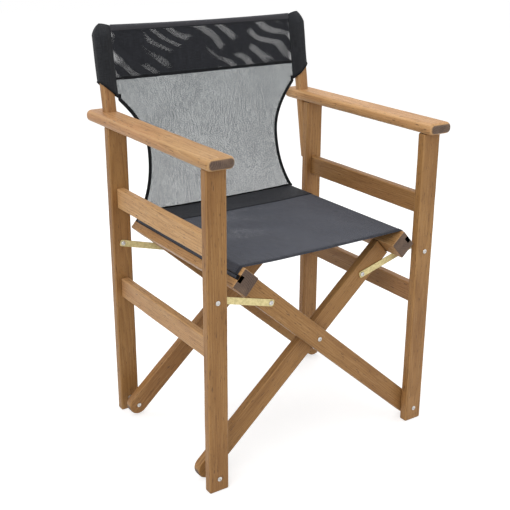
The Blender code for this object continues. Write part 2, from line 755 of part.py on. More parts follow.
# The origin lies on the floor under the middle of the chair's depth.
bpy.context.view_layer.update()
sleeve_rear = (stile_y(PANEL_TOP_Z + CLOTH_T)
               + (STILE_D / 2 + CLOTH_GAP + CLOTH_T + SLEEVE_SLACK[1]) * cos(STILE_LEAN))
shift = -(ARM_FRONT_Y + sleeve_rear) / 2
for obj in list(chair.objects) + list(cutters.objects):
    if obj.parent is None:
        obj.location.y += shift
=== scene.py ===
"""Looks of a folding armchair with a one-piece mesh sling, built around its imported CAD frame.

Everything is placed in the chair's own frame, whose Y is measured from the middle
of the posts, and moved into the row's frame by CHAIR.  Metres throughout.
"""

import json
from math import atan2, ceil, copysign, cos, hypot, pi, radians, sin, tan

import bmesh
import bpy
from mathutils import Matrix, Vector, noise


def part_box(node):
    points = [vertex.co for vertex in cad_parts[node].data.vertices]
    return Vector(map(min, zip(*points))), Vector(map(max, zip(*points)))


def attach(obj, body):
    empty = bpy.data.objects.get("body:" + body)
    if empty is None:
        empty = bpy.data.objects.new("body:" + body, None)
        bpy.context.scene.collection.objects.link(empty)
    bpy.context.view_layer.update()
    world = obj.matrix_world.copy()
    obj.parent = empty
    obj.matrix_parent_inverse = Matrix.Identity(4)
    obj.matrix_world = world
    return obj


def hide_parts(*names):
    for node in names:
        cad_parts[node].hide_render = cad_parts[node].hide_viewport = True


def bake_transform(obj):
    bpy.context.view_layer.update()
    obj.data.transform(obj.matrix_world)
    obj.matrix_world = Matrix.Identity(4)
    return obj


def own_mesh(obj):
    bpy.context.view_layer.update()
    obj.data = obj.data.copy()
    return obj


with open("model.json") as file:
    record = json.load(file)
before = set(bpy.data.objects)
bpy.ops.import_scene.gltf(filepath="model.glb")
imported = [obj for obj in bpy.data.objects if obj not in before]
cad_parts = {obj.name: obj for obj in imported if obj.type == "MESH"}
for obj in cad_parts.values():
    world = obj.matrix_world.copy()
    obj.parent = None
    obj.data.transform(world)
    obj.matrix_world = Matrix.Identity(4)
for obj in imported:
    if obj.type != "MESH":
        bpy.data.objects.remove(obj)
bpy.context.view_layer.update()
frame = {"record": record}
SCENE = bpy.context.scene

# ---- dimensions
LEFT, RIGHT, FRONT, REAR = -1, 1, -1, 1
CLEAR = 0.0003
POST_W, POST_D, POST_H, POST_EDGE = 0.044, 0.02, 0.666, 0.0035
POST_OUT_Y, POST_IN_Y, POST_X = 0.209, 0.189, 0.2585
SIDE_RAIL_T, SIDE_RAIL_H, SIDE_RAIL_EDGE = 0.018, 0.044, 0.003
SIDE_RAIL_Z = {"upper": 0.512, "lower": 0.306}
ARM_T, ARM_W, ARM_EDGE = 0.024, 0.0585, 0.01
ARM_CORNER = {FRONT: 0.0115, REAR: 0.015}
ARM_X, ARM_FRONT_Y, ARM_REAR_Y = 0.26025, -0.233, 0.284
ARM_TOP_Z = POST_H + CLEAR + ARM_T
STILE_W, STILE_D, STILE_CORNER = 0.029, 0.022, 0.009
STILE_LEAN, STILE_X, STILE_Y = radians(9.5), 0.2525, 0.236
STILE_LOW_Z, STILE_TOP_Z = ARM_TOP_Z - 0.1603, ARM_TOP_Z + 0.16
COUNTERBORE, COUNTERBORE_R = 0.003, 0.0062
LEG_W, LEG_T, LEG_EDGE = 0.044, 0.02, 0.003
FOOT_Z, CROSS_Z, RAIL_REACH = 0.029, 0.26, 0.2635
OUTER_LEG_Y, INNER_LEG_Y = 0.1765, 0.154
SEAT_RAIL_W, SEAT_RAIL_T, SEAT_RAIL_EDGE = 0.044, 0.041, 0.003
SEAT_RAIL_Y = (-0.209, 0.214)
SLOT_W, SLOT_D, ROD_R = 0.01, 0.0078, 0.003
LINK_Z, LINK_PIN, LINK_W, LINK_T = 0.409, 0.167, 0.0145, 0.0018
LINK_CORNER, LINK_EDGE = 0.0045, 0.0005
SHANK_R, HEAD_R, HEAD_H = 0.003, 0.005, 0.0023
SPACER_R, SPACER_BORE, NUT_FLATS = 0.006, 0.0033, 0.01
CLOTH_T, CLOTH_GAP = 0.0012, 0.0004
SEAT_Y = (-0.2, 0.2034)
SEAT_SAG = 0.003
PANEL_TOP_Z, PANEL_FOOT_Y = ARM_TOP_Z + 0.1757, 0.205
SEAM_X, WAIST_HALF, WAIST_SHARE, FOOT_HALF = 0.023, 0.172, 0.53, 0.206
SLEEVE_SLACK = (0.0005, 0.004)
FLARE_Z = ARM_TOP_Z + 0.0215
SLEEVE_LOW_Z, SLEEVE_SLANT, SLEEVE_H = ARM_TOP_Z + 0.0617, radians(41.0), 0.13
SLEEVE_T, SLEEVE_SEAM = 0.0009, 0.0022
DOME_LOW_Z, DOME_RISE, DOME_SEAM_RISE = 0.846, 0.0235, 0.0185
HEM_Z, BAND_SAG, FOLD_R = 0.756, 0.0025, 0.0042
SEAT_BAND_Y, SEAT_BAND_T = 0.115, 0.0006
BAND_STRIP_Z, THREAD_PITCH = PANEL_TOP_Z - 0.0125, (0.00135, 0.00105)
RIPPLE, PANEL_RIPPLE = 0.0016, 0.0012
BOARD_WEAR, BOARD_STEP = 0.00035, 0.025

LEG_LOW = hypot(POST_X, CROSS_Z - FOOT_Z)
LEG_ANGLE = atan2(POST_X, CROSS_Z - FOOT_Z)
PIN_X = LINK_PIN * sin(LEG_ANGLE)
PIN_Z = CROSS_Z + LINK_PIN * cos(LEG_ANGLE)
LINK_L = hypot(POST_X - PIN_X, LINK_Z - PIN_Z)
LINK_SLOPE = atan2(LINK_Z - PIN_Z, POST_X - PIN_X)
SIDES = {LEFT: "left", RIGHT: "right"}
ENDS = {FRONT: "front", REAR: "rear"}

CHAIR = Matrix.Translation((0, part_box("left_front_post")[0].y + POST_OUT_Y, 0))
# Local X (the grain) stands up, local Y runs across and local Z to the back.
UPRIGHT = Matrix(((0, 1, 0, 0), (0, 0, 1, 0), (1, 0, 0, 0), (0, 0, 0, 1)))
# Local Z runs to the front.
ALONG_Y = Matrix.Rotation(pi / 2, 4, "X")


# ---- materials
class Nodes:
    """Short calls for building one node tree: a new material's, unless one is given."""

    def __init__(self, name="", tree=None):
        if tree is None:
            self.material = bpy.data.materials.new(name)
            self.material.use_nodes = True
            tree = self.material.node_tree
            self.shader = tree.nodes["Principled BSDF"]
        self.tree = tree

    def put(self, socket, value):
        if isinstance(value, bpy.types.NodeSocket):
            self.tree.links.new(value, socket)
        elif isinstance(value, tuple) and socket.type == "RGBA":
            socket.default_value = (*value, 1.0)
        else:
            socket.default_value = value

    def add(self, kind, inputs, **settings):
        node = self.tree.nodes.new(kind)
        for key, value in settings.items():
            setattr(node, key, value)
        for key, value in inputs.items():
            self.put(node.inputs[key], value)
        return node

    def maths(self, operation, *values, clamp=False):
        return self.add("ShaderNodeMath", dict(enumerate(values)), operation=operation,
                        use_clamp=clamp).outputs[0]

    def times(self, a, b):
        return self.maths("MULTIPLY", a, b)

    def plus(self, a, b):
        return self.maths("ADD", a, b)

    def minus(self, a, b):
        return self.maths("SUBTRACT", a, b)

    def vector(self, operation, *values):
        node = self.add("ShaderNodeVectorMath", dict(enumerate(values)), operation=operation)
        return node.outputs["Value" if operation == "LENGTH" else "Vector"]

    def mix(self, a, b, factor):
        return self.add("ShaderNodeMix", {0: factor, 6: a, 7: b},
                        data_type="RGBA").outputs[2]

    def between(self, value, low, high, out_low=0.0, out_high=1.0):
        inputs = {0: value, 1: low, 2: high, 3: out_low, 4: out_high}
        return self.add("ShaderNodeMapRange", inputs,
                        interpolation_type="SMOOTHSTEP").outputs[0]

    def noise(self, vector, scale=1.0, detail=2.0, roughness=0.5):
        inputs = {"Vector": vector, "Scale": scale, "Detail": detail, "Roughness": roughness}
        return self.add("ShaderNodeTexNoise", inputs).outputs[0]

    def streaks(self, vector, stretch, detail=2.0, roughness=0.5):
        """Noise of a vector scaled by axis, so that it draws out into streaks."""
        return self.noise(self.vector("MULTIPLY", vector, stretch), 1.0, detail, roughness)

    def split(self, vector):
        return self.add("ShaderNodeSeparateXYZ", {0: vector}).outputs

    def coords(self, output="Object"):
        return self.add("ShaderNodeTexCoord", {}).outputs[output]

    def bump(self, height, distance, strength):
        node = self.add("ShaderNodeBump", {"Height": height, "Distance": distance,
                                           "Strength": strength})
        self.put(self.shader.inputs["Normal"], node.outputs[0])

    def set(self, **sockets):
        for key, value in sockets.items():
            self.put(self.shader.inputs[key.replace("_", " ")], value)
        return self.material


def wood(name, seed, tone, warmth, light, pale):
    """Oiled tropical hardwood whose grain runs along the piece's own X axis."""
    n = Nodes(name)
    here = n.coords()
    spot = n.vector("ADD", here, (0.71 * seed, 0.37 * seed, 0.53 * seed))
    wander = n.streaks(spot, (2.2, 9.0, 9.0))
    broad = n.streaks(spot, (5.0, 26.0, 26.0), 3.0)
    streak = n.streaks(spot, (14.0, 330.0, 330.0), 4.0, 0.6)
    fibre = n.streaks(spot, (45.0, 1500.0, 1500.0))

    # Growth rings about a heart that lies well off the board and tilts a little.
    heart_off, heart_tilt, rings_per_m = 0.052, radians(1.6), 250.0
    turn = radians(40.0 * seed)
    heart = n.vector("MULTIPLY", (0.0, 1.0, 1.0), n.add("ShaderNodeMapping", {
        "Vector": here, "Location": (0.0, heart_off * cos(turn), heart_off * sin(turn)),
        "Rotation": (0.0, heart_tilt * cos(2 * turn), heart_tilt * sin(3 * turn)),
    }).outputs[0])
    ring = n.maths("FRACT", n.plus(n.times(n.vector("LENGTH", heart), rings_per_m),
                                   n.times(wander, 5.0)))
    late = n.times(n.between(ring, 0.25, 0.86), n.between(ring, 1.0, 0.9))

    def shade(golden, honeyed):
        return tuple((a + (b - a) * pale) * light for a, b in zip(golden, honeyed))

    honey = shade((0.4, 0.208, 0.07), (0.48, 0.278, 0.118))
    brown = shade((0.29, 0.138, 0.042), (0.345, 0.18, 0.07))
    rosy = shade((0.4, 0.185, 0.072), (0.48, 0.242, 0.114))
    dark = shade((0.12, 0.052, 0.019), (0.16, 0.076, 0.033))
    pale_grain_and_edge_highlight = shade((0.49, 0.28, 0.11), (0.57, 0.36, 0.175))
    base = n.mix(honey, brown, n.between(broad, 0.3 + 0.25 * (1 - tone), 0.72))
    base = n.mix(base, rosy, n.times(n.between(wander, 0.4, 0.66), warmth))
    base = n.mix(base, brown, n.times(late, 0.42 + 0.2 * tone))
    base = n.mix(base, dark, n.between(streak, 0.54, 0.76, 0.0, 0.68))
    base = n.mix(base, pale_grain_and_edge_highlight, n.between(streak, 0.46, 0.28, 0.0, 0.55))
    base = n.mix(base, dark, n.between(fibre, 0.58, 0.74, 0.0, 0.45))

    # Short dark pores and the odd longer fleck.
    pore = n.streaks(spot, (130.0, 1300.0, 1300.0), 1.0)
    fleck = n.streaks(spot, (55.0, 360.0, 360.0), 1.0)
    pores = n.maths("MAXIMUM", n.between(pore, 0.66, 0.74),
                    n.between(fleck, 0.66, 0.74, 0.0, 0.9))
    base = n.mix(base, (0.085, 0.04, 0.02), n.times(pores, 0.75))

    # End grain soaks up the oil, and the rounded edges are mixed paler: partly rubbed wear,
    # partly a painted highlight of their gloss.
    along, across, up = n.split(n.vector("ABSOLUTE", n.coords("Normal")))[:3]
    flat = n.maths("MAXIMUM", n.maths("MAXIMUM", along, across), up)
    base = n.mix(base, pale_grain_and_edge_highlight, n.between(flat, 0.96, 0.74, 0.0, 0.4))
    end = n.between(along, 0.62, 0.86)
    cell = n.streaks(spot, (300.0, 950.0, 950.0))
    end_tone = n.mix((0.165, 0.11, 0.078), (0.085, 0.055, 0.043),
                     n.maths("MAXIMUM", late, n.between(cell, 0.42, 0.62)))
    end_tone = n.mix(end_tone, (0.23, 0.15, 0.1), n.between(broad, 0.42, 0.7, 0.0, 0.6))
    base = n.mix(base, end_tone, end)

    rough = n.plus(n.between(streak, 0.25, 0.75, 0.4, 0.56), n.times(end, 0.16))
    height = n.plus(n.times(streak, 0.5), n.times(fibre, 0.35))
    height = n.minus(height, n.times(pores, 0.5))
    height = n.minus(height, n.times(late, 0.1))
    n.bump(height, 0.0005, 0.55)
    return n.set(Base_Color=base, Roughness=rough, Specular_IOR_Level=0.28,
                 Coat_Weight=0.03, Coat_Roughness=0.32)


def metal(name, bright, dull, rough, brushed=(60.0, 900.0, 900.0)):
    """Plated steel: faint brushing, cloudy plating and small dark spots."""
    n = Nodes(name)
    here = n.coords()
    cloud = n.noise(here, 160.0, 3.0, 0.6)
    brush = n.streaks(here, brushed)
    spots = n.noise(here, 900.0, 1.0)
    colour = n.mix(bright, dull, n.between(cloud, 0.38, 0.66))
    colour = n.mix(colour, dull, n.between(brush, 0.5, 0.7, 0.0, 0.5))
    colour = n.mix(colour, (0.2, 0.17, 0.11), n.between(spots, 0.68, 0.76, 0.0, 0.5))
    roughness = n.plus(n.between(cloud, 0.3, 0.7, rough, rough + 0.16),
                       n.between(brush, 0.3, 0.7, -0.04, 0.06))
    n.bump(brush, 0.00006, 0.5)
    return n.set(Base_Color=colour, Roughness=roughness, Metallic=0.85)


def weave(n, cloth, pitch, across_open, along_open):
    """Open share and thread height of a plain weave laid out in cloth metres."""
    softness = 0.12
    u, v = n.split(cloth)[:2]
    row = n.maths("DIVIDE", v, pitch[1])
    shift = n.times(n.maths("MODULO", n.maths("FLOOR", row), 2.0), 0.5)

    def from_middle(place):
        off = n.minus(n.maths("FRACT", place), 0.5)
        return n.times(n.maths("ABSOLUTE", off), 2.0)

    def gap(cell, share):
        return n.maths("MULTIPLY_ADD", n.minus(share, cell), 1 / softness, 0.5, clamp=True)

    cell_u = from_middle(n.plus(n.maths("DIVIDE", u, pitch[0]), shift))
    cell_v = from_middle(row)
    hole = n.times(gap(cell_u, across_open), gap(cell_v, along_open))
    return hole, n.minus(1.0, n.times(cell_u, cell_v))


def mesh_cloth(name, dark, pale, openness, patches=None, rough=0.6, sheen=0.05,
               gloss=0.15, highlight_strip=None):
    """Woven mesh: openness is the share of a thread cell that is hole, each way."""
    n = Nodes(name)
    cloth = n.add("ShaderNodeAttribute", {}, attribute_name="cloth").outputs["Vector"]
    slub = n.streaks(cloth, (60.0, 700.0, 1.0), 3.0)
    warp = n.streaks(cloth, (620.0, 26.0, 1.0), 3.0)
    cloud = n.streaks(cloth, (11.0, 11.0, 1.0))
    if patches is not None:
        share = patches(n, cloth)
        across, along = (n.maths("MULTIPLY_ADD", share, most - least, least)
                         for least, most in openness)
    else:
        across_open, along_open = openness
        dash = n.streaks(cloth, (260.0, 75.0, 1.0), 1.0)
        mixed = n.maths("MULTIPLY_ADD", warp, 0.5, n.times(dash, 0.5))
        across = n.between(mixed, 0.36, 0.64, across_open - 0.13, across_open + 0.1)
        along = n.between(cloud, 0.3, 0.7, along_open - 0.03, along_open + 0.03)
    hole, thread = weave(n, cloth, THREAD_PITCH, across, along)
    tone = n.maths("MULTIPLY_ADD", slub, 0.6, n.times(warp, 0.4))
    colour = n.mix(dark, pale, n.between(tone, 0.36, 0.66))
    colour = n.mix(colour, pale, n.between(cloud, 0.45, 0.75, 0.0, 0.35))
    colour = n.mix(colour, dark, n.times(n.minus(1.0, thread), 0.5))
    # Painted highlight: the band's rolled top catches the light, so the cloth is coloured
    # lighter above the given height.
    if highlight_strip is not None:
        low, highlight_colour = highlight_strip
        above = n.between(n.split(cloth)[1], low - 0.001, low + 0.001)
        colour = n.mix(colour, highlight_colour, above)
    n.bump(n.maths("MULTIPLY_ADD", slub, 0.3, thread), 0.0004, 0.6)
    roughness = n.between(slub, 0.3, 0.7, rough - 0.07, rough + 0.08)
    return n.set(Base_Color=colour, Roughness=roughness, Sheen_Weight=sheen,
                 Sheen_Roughness=0.4, Specular_IOR_Level=gloss,
                 Alpha=n.minus(1.0, hole))


def moire(n, cloth):
    """Soft slanting patches where the two layers' holes line up."""
    bend = n.streaks(cloth, (6.0, 8.0, 1.0), 1.5)
    patch = n.streaks(cloth, (8.0, 11.0, 1.0), 1.0)
    u, v = n.split(cloth)[:2]
    phase = n.plus(n.plus(n.times(u, 20.0), n.times(v, 28.0)), n.times(bend, 3.2))
    wave = n.maths("SINE", n.times(phase, 2 * pi))
    share = n.times(n.between(wave, -0.85, 0.7), n.between(patch, 0.38, 0.52))
    below = n.between(v, BAND_STRIP_Z, BAND_STRIP_Z - 0.0045)
    return n.maths("POWER", n.times(share, below), 0.8)


def tape_cloth(name, dark, pale, gloss=0.12):
    """Ribbed binding tape and thread."""
    n = Nodes(name)
    here = n.coords()
    rib = n.streaks(here, (1900.0, 1900.0, 1900.0), 1.0)
    cloud = n.noise(here, 120.0, 2.0)
    colour = n.mix(dark, pale, n.between(rib, 0.4, 0.68))
    colour = n.mix(colour, dark, n.between(cloud, 0.4, 0.7, 0.0, 0.5))
    n.bump(rib, 0.0003, 0.5)
    return n.set(Base_Color=colour, Roughness=n.between(cloud, 0.3, 0.7, 0.62, 0.82),
                 Sheen_Weight=0.03, Sheen_Roughness=0.5, Specular_IOR_Level=gloss)


def plastic(name, dark, pale):
    n = Nodes(name)
    here = n.coords()
    grain = n.noise(here, 1400.0, 2.0)
    scuff = n.streaks(here, (90.0, 90.0, 700.0), 3.0)
    colour = n.mix(dark, pale, n.between(scuff, 0.52, 0.72))
    n.bump(grain, 0.00008, 0.5)
    return n.set(Base_Color=colour, Roughness=n.between(scuff, 0.3, 0.7, 0.36, 0.58))


BRASS = metal("yellow_zinc_plate", (0.69, 0.59, 0.3), (0.56, 0.48, 0.24), 0.34)
ZINC = metal("zinc_plate", (0.7, 0.69, 0.67), (0.48, 0.47, 0.45), 0.26,
             (500.0, 500.0, 60.0))
ROD_BLACK = plastic("rod_black", (0.012, 0.012, 0.013), (0.035, 0.035, 0.037))
# The seat is the same mesh as the back's band and sleeves, in lighter colours: painted sheen
# where its upward face catches grazing light.
SEAT_CLOTH_PAINTED_SHEEN = mesh_cloth("seat_mesh_painted_sheen", (0.036, 0.039, 0.05), (0.086, 0.094, 0.122),
                        (0.2, 0.17), rough=0.58, sheen=0.08, gloss=0.2)
BAND_SEAT_CLOTH = mesh_cloth("seat_band_mesh", (0.013, 0.014, 0.018),
                             (0.03, 0.032, 0.04), (0.16, 0.16))
BACK_CLOTH = mesh_cloth("back_mesh", (0.018, 0.036, 0.042), (0.04, 0.07, 0.08),
                        (0.555, 0.495))
# The back's band, with a painted highlight colour along its rolled top.
BAND_CLOTH = mesh_cloth("back_band_mesh", (0.012, 0.013, 0.016), (0.027, 0.029, 0.036),
                        ((0.14, 0.62), (0.1, 0.56)), moire,
                        highlight_strip=(BAND_STRIP_Z, (0.058, 0.058, 0.066)))
SLEEVE_CLOTH = mesh_cloth("sleeve_mesh", (0.012, 0.013, 0.015), (0.03, 0.032, 0.037),
                          (0.1, 0.1))
BINDING = tape_cloth("binding_tape", (0.006, 0.007, 0.008), (0.016, 0.017, 0.019))
THREAD = tape_cloth("thread", (0.03, 0.032, 0.036), (0.075, 0.08, 0.085))
SEAT_HEM = tape_cloth("seat_hem", (0.02, 0.022, 0.028), (0.052, 0.056, 0.072))


# ---- geometry
def at(x, y, z):
    return Matrix.Translation((x, y, z))


def arc(cx, cy, radius, start, end, steps):
    angles = [start + (end - start) * i / steps for i in range(steps + 1)]
    return [(cx + radius * cos(a), cy + radius * sin(a)) for a in angles]


def rounded_rectangle(width, depth, radius, steps):
    dx, dy = width / 2 - radius, depth / 2 - radius
    corners = ((dx, dy), (-dx, dy), (-dx, -dy), (dx, -dy))
    return [point for i, (x, y) in enumerate(corners)
            for point in arc(x, y, radius, i * pi / 2, (i + 1) * pi / 2, steps)]


def divided(outline, step=BOARD_STEP):
    """The same closed outline with its long sides cut into short ones."""
    points = []
    for (ax, ay), (bx, by) in zip(outline, outline[1:] + outline[:1]):
        parts = max(1, ceil(hypot(bx - ax, by - ay) / step))
        points += [(ax + (bx - ax) * (i / parts), ay + (by - ay) * (i / parts))
                   for i in range(parts)]
    return points


def inset(outline, distance):
    """Anticlockwise outline moved inwards."""
    moved = []
    count = len(outline)
    for i in range(count):
        here = Vector(outline[i])
        before = (here - Vector(outline[i - 1])).normalized()
        after = (Vector(outline[(i + 1) % count]) - here).normalized()
        one, two = Vector((-before.y, before.x)), Vector((-after.y, after.x))
        mitre = (one + two) / (1 + one.dot(two))
        moved.append(here + mitre * distance)
    return moved


def bridge(bm, loops, closed=True):
    for low, high in zip(loops, loops[1:]):
        count = len(low)
        for i in range(count if closed else count - 1):
            j = (i + 1) % count
            bm.faces.new((low[i], low[j], high[j], high[i]))


def solid_of(outline, depth, rims, steps=4, step=BOARD_STEP, grain_along=False):
    """Outline in local XY thickened along Z, with rounded rims (low, high)."""
    bm = bmesh.new()
    half = depth / 2
    low_rim, high_rim = rims
    curve = [pi / 2 * k / steps for k in range(steps + 1)]
    levels = [(-half + low_rim * (1 - sin(a)), low_rim * (1 - cos(a)))
              for a in reversed(curve)]
    span = depth - low_rim - high_rim
    parts = max(1, ceil(span / step))
    levels += [(-half + low_rim + span * i / parts, 0.0) for i in range(1, parts)]
    levels += [(half - high_rim * (1 - sin(a)), high_rim * (1 - cos(a))) for a in curve]
    loops = [[bm.verts.new((p[0], p[1], z)) for p in inset(outline, gap)]
             for z, gap in levels]
    bridge(bm, loops)
    bm.faces.new(list(reversed(loops[0])))
    bm.faces.new(loops[-1])
    bmesh.ops.remove_doubles(bm, verts=bm.verts, dist=2e-5)
    if grain_along:
        for vert in bm.verts:
            vert.co = vert.co.zxy
    return bm


def wear_edges(bm, amount, seed):
    """Rubs the rounded edges down unevenly."""
    bm.normal_update()
    for vert in bm.verts:
        flat = max(abs(vert.normal.x), abs(vert.normal.y), abs(vert.normal.z))
        if flat < 0.97:
            rub = noise.noise(vert.co * 38.0 + Vector((seed, 0, 0)))
            vert.co -= vert.normal * amount * (0.5 + rub)


def turned(rings, segments=24):
    """Rings of (radius or function of angle, height), closed where the radius is 0."""
    bm = bmesh.new()
    loops = []
    for radius, height in rings:
        if radius == 0.0:
            loops.append([bm.verts.new((0, 0, height))])
            continue
        loop = []
        for i in range(segments):
            angle = 2 * pi * i / segments
            r = radius(angle) if callable(radius) else radius
            loop.append(bm.verts.new((r * cos(angle), r * sin(angle), height)))
        loops.append(loop)
    for low, high in zip(loops, loops[1:]):
        if len(low) == 1 or len(high) == 1:
            tip, ring = (low[0], high) if len(low) == 1 else (high[0], low)
            for i in range(segments):
                bm.faces.new((tip, ring[i], ring[(i + 1) % segments]))
        else:
            bridge(bm, [low, high])
    bmesh.ops.recalc_face_normals(bm, faces=bm.faces)
    return bm


def add_object(name, data):
    obj = bpy.data.objects.new(name, data)
    SCENE.collection.objects.link(obj)
    return obj


def piece(name, bm, matrix, material, smooth=40.0):
    """Mesh object in place; matrix is in the chair's frame."""
    mesh = bpy.data.meshes.new(name)
    bm.normal_update()
    bm.to_mesh(mesh)
    bm.free()
    mesh.materials.append(material)
    mesh.polygons.foreach_set("use_smooth", [True] * len(mesh.polygons))
    mesh.set_sharp_from_angle(angle=radians(smooth))
    obj = add_object(name, mesh)
    obj.matrix_world = CHAIR @ matrix
    return obj


def weigh_normals(obj):
    """Keeps the flats flat beside their rounded edges."""
    modifier = obj.modifiers.new("Normals", "WEIGHTED_NORMAL")
    modifier.keep_sharp = True
    modifier.weight = 80


def settle(obj):
    """Replaces the mesh with its evaluated form, so that no modifier is left."""
    depsgraph = bpy.context.evaluated_depsgraph_get()
    mesh = bpy.data.meshes.new_from_object(obj.evaluated_get(depsgraph))
    obj.modifiers.clear()
    obj.data = mesh


# ---- wood pieces
# Tone, warmth, lightness and paleness of each board.
LOOKS = {
    "left_front_post": (0.65, 0.15, 0.98, 0.0), "left_rear_post": (0.75, 0.1, 0.9, 0.0),
    "right_front_post": (0.55, 0.25, 1.02, 0.1), "right_rear_post": (0.6, 0.2, 0.98, 0.1),
    "left_upper_rail": (0.2, 0.35, 1.24, 1.0), "left_lower_rail": (0.3, 0.3, 1.1, 1.0),
    "right_upper_rail": (0.7, 0.55, 0.96, 0.2), "right_lower_rail": (0.75, 0.55, 0.92, 0.2),
    "left_armrest": (0.25, 0.8, 1.1, 0.9), "right_armrest": (0.15, 0.35, 1.26, 0.8),
    "left_back_stile": (0.6, 0.7, 1.0, 0.5), "right_back_stile": (0.6, 0.7, 1.0, 0.5),
    "inner_leg_front": (0.5, 0.3, 0.98, 0.0), "outer_leg_front": (0.6, 0.3, 1.0, 0.1),
    "inner_leg_rear": (0.55, 0.3, 0.95, 0.0), "outer_leg_rear": (0.55, 0.3, 0.95, 0.0),
    "seat_rail_left": (0.5, 0.3, 1.06, 0.9), "seat_rail_right": (0.6, 0.3, 0.98, 0.5),
}
BODY_OF = {node: body for body, nodes in frame["record"]["behaviour"]["bodies"].items()
           for node in nodes}
BOARDS = []


def fit(obj, node):
    """Puts a piece in a CAD node's place, on its body."""
    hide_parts(node)
    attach(obj, BODY_OF[node])


def board(name, bm, matrix, sharp=60.0):
    BOARDS.append(name)
    seed = len(BOARDS)
    wear_edges(bm, BOARD_WEAR, 7.0 * seed)
    obj = piece(name, bm, matrix, wood("wood_" + name, seed, *LOOKS[name]), sharp)
    weigh_normals(obj)
    fit(obj, name)
    return obj


def stile_y(z):
    return STILE_Y + (z - ARM_TOP_Z) * tan(STILE_LEAN)


def stile_matrix(side, z):
    return at(side * STILE_X, stile_y(z), z) @ Matrix.Rotation(-STILE_LEAN, 4, "X")


def leg_frame(side):
    """Frame at the crossing with its Z up the leg that carries a side's rail."""
    return at(0, 0, CROSS_Z) @ Matrix.Rotation(side * LEG_ANGLE, 4, "Y")


def slab(length, width, thickness, edge):
    outline = divided(rounded_rectangle(length, width, edge, 4))
    return solid_of(outline, thickness, (edge, edge))


def make_post(side, end):
    bm = slab(POST_H, POST_W, POST_D, POST_EDGE)
    matrix = at(side * POST_X, end * (POST_OUT_Y + POST_IN_Y) / 2, POST_H / 2) @ UPRIGHT
    board(f"{SIDES[side]}_{ENDS[end]}_post", bm, matrix)


def make_side_rail(side, level):
    bm = slab(2 * (POST_IN_Y - CLEAR), SIDE_RAIL_H, SIDE_RAIL_T, SIDE_RAIL_EDGE)
    turn = Matrix(((0, 0, 1, 0), (1, 0, 0, 0), (0, 1, 0, 0), (0, 0, 0, 1)))
    board(f"{SIDES[side]}_{level}_rail", bm, at(side * POST_X, 0, SIDE_RAIL_Z[level]) @ turn)


def make_armrest(side):
    steps = 8
    length = ARM_REAR_Y - ARM_FRONT_Y
    front, rear = (rounded_rectangle(length, ARM_W, ARM_CORNER[end], steps)
                   for end in (FRONT, REAR))
    corner = steps + 1
    outline = divided(rear[:corner] + front[corner:3 * corner] + rear[3 * corner:], 0.02)
    bm = solid_of(outline, ARM_T, (ARM_EDGE, ARM_EDGE), steps=6)
    matrix = (at(side * ARM_X, (ARM_REAR_Y + ARM_FRONT_Y) / 2, ARM_TOP_Z - ARM_T / 2)
              @ Matrix.Rotation(pi / 2, 4, "Z"))
    board(f"{SIDES[side]}_armrest", bm, matrix)


def make_stile(side):
    middle = (STILE_TOP_Z + STILE_LOW_Z) / 2
    length = (STILE_TOP_Z - STILE_LOW_Z) / cos(STILE_LEAN)
    foot_rim, top_rim = 0.002, 0.0085
    section = rounded_rectangle(STILE_W, STILE_D, STILE_CORNER, 6)
    bm = solid_of(section, length, (foot_rim, top_rim), step=0.012, grain_along=True)
    matrix = stile_matrix(side, middle) @ UPRIGHT
    back = matrix.inverted()
    face = POST_OUT_Y + CLEAR
    for vert in bm.verts:
        where = matrix @ vert.co
        if where.z < POST_H and where.y < face:
            where.y = face
            vert.co = back @ where
    obj = board(f"{SIDES[side]}_back_stile", bm, matrix, sharp=45.0)
    rear = STILE_D / 2 / cos(STILE_LEAN)
    for label in ("lower", "upper"):
        low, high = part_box(f"stile_bolt_{SIDES[side]}_{label}")
        z = (low.z + high.z) / 2
        tool_mesh = turned([(0.0, 0.0), (COUNTERBORE_R, 0.0), (COUNTERBORE_R, 0.02),
                            (0.0, 0.02)], 32)
        tool = piece("counterbore", tool_mesh,
                     at(side * STILE_X, stile_y(z) + rear - COUNTERBORE, z)
                     @ ALONG_Y.inverted(), obj.data.materials[0])
        cut = obj.modifiers.new("Counterbore", "BOOLEAN")
        cut.operation, cut.solver, cut.object = "DIFFERENCE", "EXACT", tool
        bpy.context.view_layer.objects.active = obj
        obj.modifiers.move(len(obj.modifiers) - 1, 0)
        settle(obj)
        bpy.data.objects.remove(tool)
        weigh_normals(obj)


def make_leg(name, side, y):
    top = RAIL_REACH - SEAT_RAIL_T / 2 - CLEAR
    half, corner = LEG_W / 2, 0.002
    outline = arc(-LEG_LOW, 0, half, pi / 2, 1.5 * pi, 20)
    outline += arc(top - corner, -half + corner, corner, -pi / 2, 0, 3)
    outline += arc(top - corner, half - corner, corner, 0, pi / 2, 3)
    bm = solid_of(divided(outline), LEG_T, (LEG_EDGE, LEG_EDGE))
    board(name, bm, leg_frame(side) @ at(0, y, 0) @ UPRIGHT)


